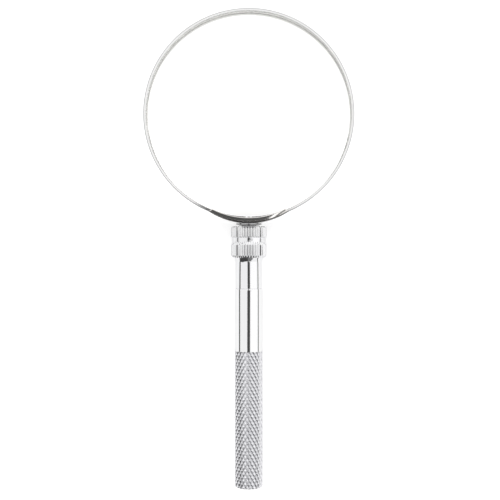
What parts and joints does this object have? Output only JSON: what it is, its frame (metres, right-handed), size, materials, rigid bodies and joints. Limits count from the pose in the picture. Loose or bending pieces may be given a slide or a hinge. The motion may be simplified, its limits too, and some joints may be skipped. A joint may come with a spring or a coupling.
{
  "type": "hand lens",
  "caption": "Round hand lens in a thin chromed band with a crescent saddle, on a slim chromed handle with a knurled collet nut, knurled collar and knurled grip.",
  "frame": {"origin": "under the middle of the outline, at the height of the lowest rib of the knurled rings, with the lens lying flat", "axes": "+Z is the optical axis, up; +Y runs up the handle to the lens; +X is to the right seen from above"},
  "size_m": [0.076, 0.1729, 0.013],
  "materials": {
    "lens_glass": "clear polished optical glass, uncoated",
    "clear_packing": "clear soft plastic strip",
    "rim_chrome": "bright polished chrome on thin brass strip",
    "saddle_chrome": "bright polished chrome",
    "turned_steel": "fine turned steel",
    "collar_chrome": "bright chrome over straight knurling",
    "collet_brass": "plain turned brass",
    "tube_chrome": "bright chrome, plain in front and diamond knurled on the grip"
  },
  "bodies": {
    "head": {"lens": "lens_glass", "lens_packing": "clear_packing", "rim_band": "rim_chrome", "saddle": "saddle_chrome", "neck_shank": "turned_steel", "lug_pin": "turned_steel"},
    "washer": {"neck_washer": "collar_chrome"},
    "handle": {"ferrule": "collar_chrome", "handle_tube": "tube_chrome", "end_plug": "tube_chrome"},
    "collet": {"collet": "collet_brass"},
    "nut": {"chuck_nut": "collar_chrome"}
  },
  "joints": [
    {"name": "handle_turn", "type": "hinge", "parent": "head", "child": "washer", "pos_m": [0, 0, 0.0065], "axis": [0, 1, 0], "continuous": true},
    {"name": "handle_draw", "type": "slide", "parent": "washer", "child": "handle", "axis": [0, -1, 0], "range_m": [0, 0.022]},
    {"name": "collet_travel", "type": "slide", "parent": "handle", "child": "collet", "axis": [0, 1, 0], "range_m": [0, 0.00014]},
    {"name": "nut_turn", "type": "hinge", "parent": "collet", "child": "nut", "pos_m": [0, 0.006, 0.0065], "axis": [0, 1, 0], "range_deg": [0, 100]}
  ],
  "couplings": [
    {"joint": "collet_travel", "follows": "nut_turn", "m_per_rad": 0.000079577}
  ]
}
